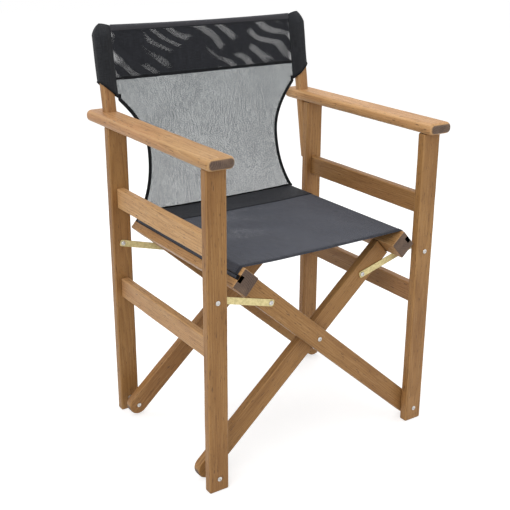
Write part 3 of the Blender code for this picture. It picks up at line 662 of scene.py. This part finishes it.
def make_seat_rail(side):
    half_w, half_t, slot, edge = SEAT_RAIL_W / 2, SEAT_RAIL_T / 2, SLOT_W / 2, SEAT_RAIL_EDGE
    lip, rim = 0.0008, 0.0022
    section = arc(-half_w + edge, -half_t + edge, edge, pi, 1.5 * pi, 4)
    section += arc(half_w - edge, -half_t + edge, edge, 1.5 * pi, 2 * pi, 4)
    section += arc(half_w - edge, half_t - edge, edge, 0, pi / 2, 4)
    section += arc(slot + lip, half_t - lip, lip, pi / 2, pi, 3)
    section += [(slot, half_t - SLOT_D), (-slot, half_t - SLOT_D)]
    section += arc(-slot - lip, half_t - lip, lip, 0, pi / 2, 3)
    section += arc(-half_w + edge, half_t - edge, edge, pi / 2, pi, 4)
    low, high = SEAT_RAIL_Y
    bm = solid_of(divided(section, 0.012), high - low, (rim, rim), grain_along=True)
    matrix = (leg_frame(side) @ at(0, (low + high) / 2, RAIL_REACH)
              @ Matrix.Rotation(-pi / 2, 4, "Z"))
    board(f"seat_rail_{SIDES[side]}", bm, matrix)


for side in (LEFT, RIGHT):
    for end in (FRONT, REAR):
        make_post(side, end)
    for level in ("upper", "lower"):
        make_side_rail(side, level)
    make_armrest(side)
    make_stile(side)
for end in (FRONT, REAR):
    make_leg(f"inner_leg_{ENDS[end]}", RIGHT, end * INNER_LEG_Y)
    make_leg(f"outer_leg_{ENDS[end]}", LEFT, end * OUTER_LEG_Y)
make_seat_rail(RIGHT)
make_seat_rail(LEFT)

# ---- links and fasteners
def hexagon(flats):
    """Radius of a hexagon at an angle."""
    return lambda angle: flats / 2 / cos((angle + pi / 6) % (pi / 3) - pi / 6)


def node_place(node):
    """Middle X and Z, low Y and high Y of a CAD node, in the chair's frame."""
    low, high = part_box(node)
    shift = CHAIR.translation.y
    return (low.x + high.x) / 2, (low.z + high.z) / 2, low.y - shift, high.y - shift


def lying(node):
    """Frame at a CAD node's middle with its Z along Y, and half the node's length."""
    x, z, low, high = node_place(node)
    return at(x, (low + high) / 2, z) @ ALONG_Y, (high - low) / 2


def fit_turned(node, rings, matrix, sharp=35.0, material=ZINC):
    fit(piece(node, turned(rings), matrix, material, sharp), node)


def make_bolt(node, faces_front):
    """Dome head with a hexagon socket; the shank is hidden in the wood."""
    x, z, low, high = node_place(node)
    length = high - low - HEAD_H
    rim, edge, chamfer = 0.0003, 0.0005, 0.0005
    dome = arc(0, 0, 1.0, radians(8), radians(68), 6)
    rings = [(0.0, -length), (SHANK_R - chamfer, -length), (SHANK_R, -length + chamfer),
             (SHANK_R, 0.0), (HEAD_R - rim, 0.0), (HEAD_R, rim)]
    rings += [(HEAD_R * u, edge + (HEAD_H - edge) * v) for u, v in dome]
    rings += [(hexagon(0.0031), HEAD_H - 0.0001), (hexagon(0.0029), HEAD_H - 0.0004),
              (hexagon(0.0028), 0.0006), (0.0, 0.0003)]
    seat = low + HEAD_H if faces_front else high - HEAD_H
    turn = ALONG_Y if faces_front else ALONG_Y.inverted()
    spin = Matrix.Rotation(37.0 * x + 19.0 * z, 4, "Z")
    fit_turned(node, rings, at(x, seat, z) @ turn @ spin)


def make_nut(node):
    matrix, half = lying(node)
    chamfer, bore_chamfer, facing = 0.0006, 0.0003, 0.97
    corner, rim = hexagon(NUT_FLATS), NUT_FLATS / 2 * facing
    bore = SHANK_R + 0.0002
    mouth = bore + 0.0004
    rings = [(bore, -half + bore_chamfer), (mouth, -half), (rim, -half),
             (corner, -half + chamfer), (corner, half - chamfer), (rim, half),
             (mouth, half), (bore, half - bore_chamfer), (bore, -half + bore_chamfer)]
    fit_turned(node, rings, matrix, 30.0)


def make_spacer(node):
    matrix, half = lying(node)
    rim = min(0.0003, half / 3)
    outer = [(SPACER_R - rim, -half), (SPACER_R, -half + rim), (SPACER_R, half - rim),
             (SPACER_R - rim, half)]
    rings = [(SPACER_BORE, -half)] + outer + [(SPACER_BORE, half), (SPACER_BORE, -half)]
    fit_turned(node, rings, matrix)


def make_link(side, end):
    node = f"link_{SIDES[side]}_{ENDS[end]}"
    x, z, low, high = node_place(node)
    outline = rounded_rectangle(LINK_L + LINK_W, LINK_W, LINK_CORNER, 8)
    outline = divided([(u + LINK_L / 2, v) for u, v in outline], 0.02)
    bm = solid_of(outline, LINK_T, (LINK_EDGE, LINK_EDGE), steps=3)
    turn = Matrix.Rotation(LINK_SLOPE if side == LEFT else pi - LINK_SLOPE, 4, "Y")
    matrix = at(side * POST_X, (low + high) / 2, LINK_Z) @ turn @ ALONG_Y
    obj = piece(node, bm, matrix, BRASS, 50.0)
    weigh_normals(obj)
    fit(obj, node)


def make_rod(side):
    """Plastic rod with rounded ends, which show in the slot's mouth."""
    node = f"seat_rod_{SIDES[side]}"
    matrix, half = lying(node)
    round_end = 0.0012
    tip = arc(0, 0, round_end, 0, pi / 2, 4)
    rings = [(ROD_R - round_end + u, half - round_end + v) for u, v in tip] + [(0.0, half)]
    rings = [(r, -h) for r, h in reversed(rings)] + rings
    fit_turned(node, rings, matrix, material=ROD_BLACK)


for node in sorted(BODY_OF):
    if "bolt" in node or "screw" in node:
        rear_facing = (node.startswith("stile_bolt")
                       or (node.startswith("link_screw") and node.endswith("rear")))
        make_bolt(node, not rear_facing)
    elif "_nut_" in node:
        make_nut(node)
    elif "_spacer_" in node:
        make_spacer(node)
for side in (LEFT, RIGHT):
    for end in (FRONT, REAR):
        make_link(side, end)
    make_rod(side)


# ---- cloth
def cloth_sheet(name, rows, material, marks=None):
    """Open sheet, laid out by X and Z, or by the marks along each row and Y."""
    bm = bmesh.new()
    bridge(bm, [[bm.verts.new(p) for p in row] for row in rows], closed=False)
    obj = piece(name, bm, Matrix(), material, 50.0)
    lay_out(obj, [(marks[i], p.y) if marks else (p.x, p.z)
                  for row in rows for i, p in enumerate(row)])
    return obj


def lay_out(obj, places):
    """Gives each vertex its place on the cut cloth."""
    layer = obj.data.attributes.new("cloth", "FLOAT_VECTOR", "POINT")
    layer.data.foreach_set("vector", [c for u, v in places for c in (u, v, 0.0)])


def lengths(path):
    """Distance along a path at each of its points."""
    total = [0.0]
    for first, second in zip(path, path[1:]):
        total.append(total[-1] + (second - first).length)
    return total


def spread(low, high, parts):
    return [low + (high - low) * i / parts for i in range(parts + 1)]


def seat_half_path():
    """Middle of the cloth from the hem on the rod to the centre line, right side."""
    half = CLOTH_T / 2
    reach = half + CLOTH_GAP
    ring = ROD_R + CLOTH_GAP + half
    face = SEAT_RAIL_T / 2
    rod_height = face - SLOT_D + ROD_R + 2 * CLOTH_GAP + CLOTH_T
    slot = SLOT_W / 2
    local = arc(0, rod_height, ring, radians(475), radians(180), 16)
    local += arc(-slot, face, slot - ring, 0, pi / 2, 5)
    corner_x = -SEAT_RAIL_W / 2 + SEAT_RAIL_EDGE
    local += [(-slot + (corner_x + slot) * i / 3, face + reach) for i in (1, 2)]
    turn = LEG_ANGLE + atan2(4 * SEAT_SAG, 2 * RAIL_REACH * sin(LEG_ANGLE))
    local += arc(corner_x, face - SEAT_RAIL_EDGE, SEAT_RAIL_EDGE + reach, pi / 2,
                 pi / 2 + turn, 8)
    across = Vector((cos(LEG_ANGLE), -sin(LEG_ANGLE)))
    along = Vector((sin(LEG_ANGLE), cos(LEG_ANGLE)))
    start = Vector((0, CROSS_Z)) + along * RAIL_REACH
    path = [start + across * t + along * n for t, n in local]
    edge_x, edge_z = path[-1]
    steps = 14
    for i in range(1, steps + 1):
        x = edge_x * (1 - i / steps)
        path.append(Vector((x, edge_z - SEAT_SAG * (1 - (x / edge_x) ** 2))))
    return path


SEAT_HALF = seat_half_path()
SEAT_PATH = SEAT_HALF + [Vector((-p.x, p.y)) for p in reversed(SEAT_HALF[:-1])]
SEAT_FOOT_Z = SEAT_HALF[-1].y + SEAT_SAG
CREST = max(range(len(SEAT_HALF)), key=lambda i: SEAT_HALF[i].y)


def seat_height(x):
    """Height of the cloth's middle at a distance from the centre line."""
    over = sorted(SEAT_HALF[CREST - 8:], key=lambda p: p.x)
    for low, high in zip(over, over[1:]):
        if low.x <= x <= high.x and high.x > low.x:
            return low.y + (high.y - low.y) * (x - low.x) / (high.x - low.x)
    return over[-1].y


def seat_normal(i, path):
    """Upward normal of a path in the XZ plane."""
    a, b = path[max(i - 1, 0)], path[min(i + 1, len(path) - 1)]
    run = (b - a).normalized()
    return Vector((run.y, -run.x)) if run.x < 0 else Vector((-run.y, run.x))


def solidify(obj, thickness, offset=0.0):
    """Gives a sheet its thickness, carrying its cloth places to both faces."""
    modifier = obj.modifiers.new("Thickness", "SOLIDIFY")
    modifier.thickness = thickness
    modifier.offset = offset
    modifier.use_even_offset = True
    settle(obj)


def tape(name, path, ups, size, power, material=BINDING, sides=10):
    """Closed flattened tube; ups is one normal or one for each point of the path."""
    width, height = size
    ups = [ups] * len(path) if isinstance(ups, Vector) else ups
    bm = bmesh.new()
    loops = []
    for i, point in enumerate(path):
        run = (path[min(i + 1, len(path) - 1)] - path[max(i - 1, 0)]).normalized()
        up = (ups[i] - run * ups[i].dot(run)).normalized()
        out = run.cross(up)
        loop = []
        for k in range(sides):
            a = 2 * pi * k / sides
            u = copysign(abs(cos(a)) ** power, cos(a))
            v = copysign(abs(sin(a)) ** power, sin(a))
            loop.append(bm.verts.new(point + out * (u * width / 2) + up * (v * height / 2)))
        loops.append(loop)
    return close_tubes(name, bm, [loops], material, 75.0)


def close_tubes(name, bm, tubes, material, smooth):
    for loops in tubes:
        bridge(bm, loops)
        bm.faces.new(loops[0])
        bm.faces.new(loops[-1])
    bmesh.ops.recalc_face_normals(bm, faces=bm.faces)
    return piece(name, bm, Matrix(), material, smooth)


def stitches(name, runs):
    """Thread along each (path, normals) run, one raised stitch after another."""
    length, gap, radius, sides = 0.003, 0.0013, 0.00033, 6
    bm = bmesh.new()
    tubes = []
    for path, normals in runs:
        marks = lengths(path)
        total = marks[-1]
        count = int(total // (length + gap))
        for s in range(count):
            start = (s + 0.5) * total / count - length / 2
            loops = []
            for t in spread(0.0, 1.0, 4):
                mark = min(max(start + length * t, 0.0), total)
                i = next((j for j in range(len(marks) - 1) if marks[j + 1] >= mark),
                         len(marks) - 2)
                share = (mark - marks[i]) / max(marks[i + 1] - marks[i], 1e-9)
                point = path[i].lerp(path[i + 1], share)
                up = normals[i].lerp(normals[i + 1], share).normalized()
                out = (path[i + 1] - path[i]).normalized().cross(up).normalized()
                lift = radius * (1.3 * sin(pi * t) - 0.3)
                thick = radius * (0.45 + 0.55 * sin(pi * t))
                loops.append([bm.verts.new(point + up * (lift + thick * sin(a))
                                           + out * (thick * cos(a)))
                              for a in (2 * pi * m / sides for m in range(sides))])
            tubes.append(loops)
    return close_tubes(name, bm, tubes, THREAD, 80.0)


def ripple(x, y, amount):
    """Small unevenness of stretched cloth."""
    return amount * noise.noise(Vector((x * 9.0, y * 14.0, 0.3)))


RAIL_X = RAIL_REACH * sin(LEG_ANGLE) - SEAT_RAIL_W / 2 * cos(LEG_ANGLE)


def bend_with_seat(obj):
    """Bakes the placement of a seat piece into its mesh."""
    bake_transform(obj)


def seat_line(path, y, lift=0.0):
    """The cloth's path at one depth, lifted off it, with its upward normals."""
    points, ups = [], []
    for i, p in enumerate(path):
        up = seat_normal(i, path)
        fade = max(0.0, 1 - (p.x / RAIL_X) ** 4)
        points.append(Vector((p.x + up.x * lift, y,
                              p.y + up.y * lift + ripple(p.x, y, RIPPLE) * fade)))
        ups.append(Vector((up.x, 0, up.y)))
    return points, ups


def make_seat():
    low, high = SEAT_Y
    over_rails, between_slots = (SEAT_PATH[i:len(SEAT_PATH) - i] for i in (CREST - 9, 17))
    parts, sizes = [], []
    for name, path, ys, lift, material, thickness in (
            ("seat_sling_cloth", SEAT_PATH, spread(low, high, 36), 0.0, SEAT_CLOTH_PAINTED_SHEEN, CLOTH_T),
            # A second layer at the rear, from the back's turned-under foot.
            ("seat_rear_band", over_rails, spread(SEAT_BAND_Y, high - 0.0012, 12), 0.001,
             BAND_SEAT_CLOTH, SEAT_BAND_T)):
        marks = lengths(path)
        rows = [seat_line(path, y, lift)[0] for y in ys]
        obj = cloth_sheet(name, rows, material, marks)
        solidify(obj, thickness)
        parts.append(obj)
        sizes.append(marks[-1])
    seat, band = parts
    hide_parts("seat_sling")

    seams = stitches("seat_stitching", [
        seat_line(between_slots, low + 0.0105, 0.0007),
        seat_line(over_rails, SEAT_BAND_Y + 0.004, 0.0014),
        seat_line(over_rails, high - 0.006, 0.0014)])
    # Turned hems: a thicker tape along the front edge and the rear edge.
    tapes = [tape(f"seat_hem_{label}", *seat_line(between_slots, y), (0.009, 0.0018), 0.6,
                  SEAT_HEM)
             for label, y in (("front", low + 0.0045), ("rear", high - 0.0035))]
    for obj in [seat, band, seams] + tapes:
        bend_with_seat(obj)


BACK_HALF = STILE_X - SEAM_X - CLEAR
BACK_NORMAL = Vector((0, -cos(STILE_LEAN), sin(STILE_LEAN)))
BACK_COLUMNS = spread(-1.0, 1.0, 64)


def panel_y(z):
    """Plane of the back: along the stiles above, down to the seat's rear edge."""
    if z >= FLARE_Z:
        return stile_y(z)
    share = (z - SEAT_FOOT_Z) / (FLARE_Z - SEAT_FOOT_Z)
    return PANEL_FOOT_Y + share * (stile_y(FLARE_Z) - PANEL_FOOT_Y)


def panel_half(z):
    """Half width of the back panel, drawn in at the waist."""
    waist = SEAT_FOOT_Z + WAIST_SHARE * (FLARE_Z - SEAT_FOOT_Z)
    if z >= FLARE_Z:
        return BACK_HALF
    if z >= waist:
        return WAIST_HALF + (BACK_HALF - WAIST_HALF) * ((z - waist) / (FLARE_Z - waist)) ** 2
    return WAIST_HALF + (FOOT_HALF - WAIST_HALF) * ((waist - z) / (waist - SEAT_FOOT_Z)) ** 2.3


def panel_point(across, z):
    """Point of the single layer; across runs from -1 to 1."""
    share = (z - SEAT_FOOT_Z) / (PANEL_TOP_Z - SEAT_FOOT_Z)
    drop = max(0.0, 1 - share) ** 8 * (seat_height(abs(across) * FOOT_HALF) - SEAT_FOOT_Z)
    return Vector((across * panel_half(z), panel_y(z), z + drop))


def band_point(across, z, out, width=BACK_HALF):
    """Point of the band, out from the back's plane; its middle hangs a little."""
    slack = 1 - across * across
    sag = BAND_SAG * slack * (z - HEM_Z) / (PANEL_TOP_Z - HEM_Z)
    return Vector((across * width, panel_y(z) + out + ripple(across * 1.7, z, RIPPLE) * slack,
                   z - sag))


def narrow_with_fold(obj):
    """Gives the piece a mesh of its own."""
    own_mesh(obj)


def band_profile():
    """(Y from the back's plane, Z) up the front layer, over the top and down the rear."""
    gap, bend_low = 0.0008, PANEL_TOP_Z - 0.016
    front = [(-gap, z) for z in spread(HEM_Z - 0.004, bend_low, 16)]
    front += [(-gap - (FOLD_R - gap) * sin(t * pi / 2) ** 2,
               bend_low + (0.016 - FOLD_R) * t) for t in spread(0.0, 1.0, 6)[1:]]
    top = [(-FOLD_R * cos(a), PANEL_TOP_Z - FOLD_R + FOLD_R * sin(a))
           for a in spread(0, pi, 8)[1:-1]]
    return front + top + [(-y, z) for y, z in reversed(front)]


def make_back():
    heights = spread(SEAT_FOOT_Z, HEM_Z - 0.002, 48)
    rows = [[panel_point(c, z) + Vector((0, ripple(c, z, PANEL_RIPPLE) * (1 - c * c), 0))
             for c in BACK_COLUMNS] for z in heights]
    panel = cloth_sheet("back_panel_cloth", rows, BACK_CLOTH)

    profile = band_profile()
    rows = [[band_point(c, z, y * (1 - c ** 16)) for c in BACK_COLUMNS] for y, z in profile]
    band = cloth_sheet("back_band_cloth", rows, BAND_CLOTH)

    hem = tape("back_band_hem", [band_point(c, HEM_Z, 0.0) for c in BACK_COLUMNS],
               BACK_NORMAL, (0.0052, 0.003), 0.6)
    edges = []
    for side in (LEFT, RIGHT):
        path = [panel_point(side, z) - Vector((side * 0.0034, 0, 0))
                for z in spread(SEAT_FOOT_Z + 0.001, FLARE_Z + 0.012, 44)]
        edges.append(tape(f"back_binding_{SIDES[side]}", path, BACK_NORMAL,
                          (0.0082, 0.0024), 0.7))
    path = [panel_point(c, SEAT_FOOT_Z) + Vector((0, 0, 0.0022)) for c in BACK_COLUMNS]
    foot = tape("back_foot_hem", path, Vector((0, -1, 0)), (0.0044, 0.0022), 0.7)

    lines = [[band_point(c, z, -0.0014, BACK_HALF * 0.985) for c in BACK_COLUMNS]
             for z in (HEM_Z + 0.0045, PANEL_TOP_Z - 0.013)]
    # A small crossed tack by each end of the band.
    tack_w, tack_h, tack_z = 0.01, 0.016, PANEL_TOP_Z - 0.022
    for side in (LEFT, RIGHT):
        x = side * (BACK_HALF - 0.02)
        for slant in (tack_w, -tack_w):
            lines.append([Vector((x + slant * (t - 0.5), panel_y(tack_z - tack_h * t) - 0.0017,
                                  tack_z - tack_h * t)) for t in spread(0.0, 1.0, 5)])
    seams = stitches("back_stitching", [(line, [BACK_NORMAL] * len(line)) for line in lines])
    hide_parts("back_panel")
    for obj in [panel, band, hem, foot, seams] + edges:
        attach(obj, "left_side")
        narrow_with_fold(obj)


def sleeve_outline(side):
    """Round the stile and in to the seam, anticlockwise from above."""
    grow = CLOTH_GAP + CLOTH_T
    radius, seam = STILE_CORNER + grow, SLEEVE_SEAM
    dx, dy = STILE_W / 2 + grow - radius, STILE_D / 2 + grow - radius
    out, back = SLEEVE_SLACK
    outline = [(-SEAM_X, -seam)]
    for t in (0.25, 0.5, 0.75):
        outline.append((-SEAM_X + (SEAM_X - dx - radius * 0.55) * t,
                        -seam - (dy + radius * 0.83 - seam) * t ** 1.25))
    outline += arc(-dx, -dy, radius, radians(235), radians(270), 3)
    outline += arc(dx + out, -dy, radius, radians(270), radians(360), 7)
    outline += arc(dx + out, dy + back, radius, 0, radians(90), 7)
    outline += arc(-dx, dy + back, radius, radians(90), radians(125), 3)
    gain = (dy + back + radius) / (dy + radius)
    outline += [(x, -y * (gain if i > 0 else 1.0))
                for i, (x, y) in reversed(list(enumerate(outline[:4])))]
    return [(side * x, y) for x, y in outline]


def sleeve_point(side, ox, oy, k, straight, dome):
    """Place of an outline point on ring k, and how loose the cloth is there."""
    if k <= straight:
        t = k / straight
        inward = STILE_W / 2 + CLOTH_GAP + CLOTH_T + SLEEVE_SLACK[0] - side * ox
        cut = SLEEVE_LOW_Z - inward * tan(SLEEVE_SLANT)
        return ox, oy, cut + (DOME_LOW_Z - cut) * t, sin(pi * t) ** 0.5
    t = (k - straight) / dome
    a = t * pi / 2
    squeeze = 0.45 * cos(a) + 0.55 * (1 - t)
    outside = side * ox > 0
    to_seam = 0.0 if outside else min(abs(ox) / SEAM_X, 1)
    rise = DOME_RISE + (DOME_SEAM_RISE - DOME_RISE) * to_seam ** 1.5
    return (ox * (0.12 + 0.88 * squeeze) if outside else ox, oy * max(squeeze, 0.06),
            DOME_LOW_Z + rise * (0.45 * sin(a) + 0.55 * t), 0.6)


def make_sleeve(side):
    """Pocket sewn flat along its top, so it peaks over the stile's end."""
    name = f"back_sleeve_{SIDES[side]}"
    outline = sleeve_outline(side)
    origin_z, straight, dome = 0.8, 16, 10
    matrix = stile_matrix(side, origin_z)
    loops, places = [], []
    marks = lengths([Vector(p) for p in outline])
    for k in range(straight + dome + 1):
        loop = []
        for (ox, oy), mark in zip(outline, marks):
            x, y, z, slack = sleeve_point(side, ox, oy, k, straight, dome)
            fold = noise.noise(Vector((ox * 55.0 + 3 * side, oy * 55.0, z * 16.0)))
            wrinkle = Vector((x, y, 0)).normalized() * fold * 0.0009 * slack
            if abs(ox) > SEAM_X - 0.004 and side * ox < 0:
                wrinkle *= 0.0
            up = (z - origin_z + y * sin(STILE_LEAN)) / cos(STILE_LEAN)
            loop.append(Vector((x + wrinkle.x, y + wrinkle.y, up)))
            places.append((side * mark, z))
        loops.append(loop)
    bm = bmesh.new()
    rows = [[bm.verts.new(p) for p in loop] for loop in loops]
    bridge(bm, rows)
    bm.faces.new(rows[-1])
    bmesh.ops.recalc_face_normals(bm, faces=bm.faces)
    sleeve = piece(name + "_cloth", bm, matrix, SLEEVE_CLOTH, 60.0)
    lay_out(sleeve, places)
    solidify(sleeve, SLEEVE_T, -1.0)

    rim = [matrix @ p for p in loops[0]]
    rim.append(rim[0])
    middle = sum(rim, Vector()) / len(rim)
    binding = tape(f"back_sleeve_binding_{SIDES[side]}", rim,
                   [(p - middle).normalized() for p in rim], (0.0036, 0.0022), 0.8, sides=8)
    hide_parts(name)
    for obj in (sleeve, binding):
        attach(obj, SIDES[side] + "_side")


make_seat()
make_back()
make_sleeve(LEFT)
make_sleeve(RIGHT)


# ---- stage and light
FLOOR_GLOW, WORLD_LIGHT = 0.6, 0.6
# Place, size and power of each soft lamp; all point at the chair's middle.
LAMPS = {"key": ((-2.5, -1.6, 2.6), 2.6, 50.0), "fill": ((2.4, -1.6, 1.9), 1.8, 12.0),
         "top": ((0.3, 0.9, 2.9), 1.6, 26.0)}
LAMP_TARGET = Vector((0, 0, 0.4))
EYE, LENS = (-1.0741, -1.5604, 1.0882), 65.46
YAW, PITCH, ROLL = radians(33.5946), radians(20.3011), radians(0.2467)


def seen(n):
    """1 for camera, mirror and see-through rays, 0 for the rest."""
    path = n.add("ShaderNodeLightPath", {}).outputs
    mirrored = n.maths("MAXIMUM", path["Is Glossy Ray"], path["Is Transmission Ray"])
    return n.maths("MAXIMUM", path["Is Camera Ray"], mirrored)


def make_floor():
    bm = bmesh.new()
    bmesh.ops.create_grid(bm, x_segments=8, y_segments=8, size=9.0)
    mesh = bpy.data.meshes.new("floor")
    bm.to_mesh(mesh)
    bm.free()
    n = Nodes("floor_white")
    colour = n.mix((0.66, 0.66, 0.66), (0.7, 0.7, 0.7), n.noise(n.coords(), 3.0, 3.0))
    mesh.materials.append(n.set(
        Base_Color=colour, Roughness=0.9, Specular_IOR_Level=0.0,
        Emission_Color=(1.0, 1.0, 1.0), Emission_Strength=n.times(seen(n), FLOOR_GLOW)))
    add_object("floor", mesh)


def make_world():
    world = bpy.data.worlds.new("studio")
    SCENE.world = world
    world.use_nodes = True
    n = Nodes(tree=world.node_tree)
    level = n.add("ShaderNodeMapRange", {0: seen(n), 3: WORLD_LIGHT, 4: 1.0})
    background = n.tree.nodes["Background"].inputs
    n.put(background["Color"], (1.0, 1.0, 1.0))
    n.put(background["Strength"], level.outputs[0])


def make_lamp(name, place, size, power):
    light = bpy.data.lights.new(name, "AREA")
    light.shape, light.size, light.energy = "SQUARE", size, power
    aim = (LAMP_TARGET - Vector(place)).to_track_quat("-Z", "Y").to_matrix().to_4x4()
    add_object(name, light).matrix_world = Matrix.Translation(place) @ aim


def make_camera():
    ahead = Vector((sin(YAW) * cos(PITCH), cos(YAW) * cos(PITCH), -sin(PITCH)))
    level = Vector((cos(YAW), -sin(YAW), 0))
    rise = level.cross(ahead)
    right = level * cos(ROLL) + rise * sin(ROLL)
    up = rise * cos(ROLL) - level * sin(ROLL)
    data = bpy.data.cameras.new("camera")
    data.lens, data.sensor_width = LENS, 36.0
    data.clip_start, data.clip_end = 0.05, 60.0
    camera = add_object("camera", data)
    turn = Matrix((right, up, -ahead)).transposed().to_4x4()
    camera.matrix_world = Matrix.Translation(CHAIR @ Vector(EYE)) @ turn
    SCENE.camera = camera


make_floor()
make_world()
for lamp, values in LAMPS.items():
    make_lamp(lamp, *values)
make_camera()
bpy.context.scene.view_settings.view_transform = "Standard"
